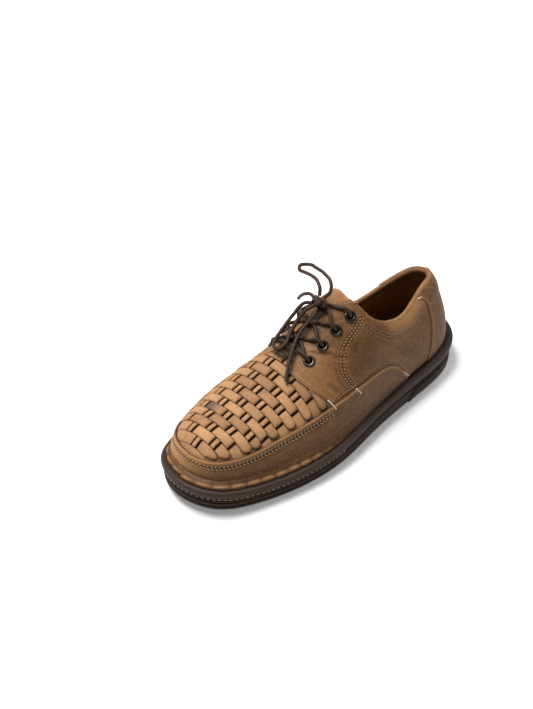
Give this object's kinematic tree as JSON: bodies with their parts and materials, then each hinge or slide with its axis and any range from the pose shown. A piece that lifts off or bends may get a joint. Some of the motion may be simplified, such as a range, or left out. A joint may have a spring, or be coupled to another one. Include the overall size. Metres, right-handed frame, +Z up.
{
  "type": "woven leather derby",
  "caption": "Left lace-up leather derby with a woven apron, open quarters on metal eyelets, a padded collar and a moulded rubber sole with a heel block",
  "frame": {"origin": "Middle of the shoe's footprint, on the floor that it stands on", "axes": "+Z is up, the toe points to -Y and the heel to +Y, and +X is the outer (lateral) side of this left shoe"},
  "size_m": [0.1122, 0.303, 0.1254],
  "materials": {
    "waxed_nubuck": "tan waxed nubuck leather, dry with rubbed edges",
    "lining_leather": "smooth tan lining leather",
    "brown_rubber": "dark brown moulded rubber, satin",
    "gunmetal": "dark gunmetal eyelets",
    "waxed_cord": "round dark brown waxed cord"
  },
  "bodies": {
    "root": {"upper": "waxed_nubuck", "tongue": "waxed_nubuck", "insole": "lining_leather", "midsole": "brown_rubber", "outsole": "brown_rubber", "heel_block": "brown_rubber", "eyelet_lateral_1": "gunmetal", "eyelet_lateral_2": "gunmetal", "eyelet_lateral_3": "gunmetal", "eyelet_lateral_4": "gunmetal", "eyelet_medial_1": "gunmetal", "eyelet_medial_2": "gunmetal", "eyelet_medial_3": "gunmetal", "eyelet_medial_4": "gunmetal", "lace_bars": "waxed_cord", "lace_knot": "waxed_cord", "lace_loop_front": "waxed_cord", "lace_loop_back": "waxed_cord", "lace_end_front": "waxed_cord", "lace_end_back": "waxed_cord"}
  },
  "joints": []
}
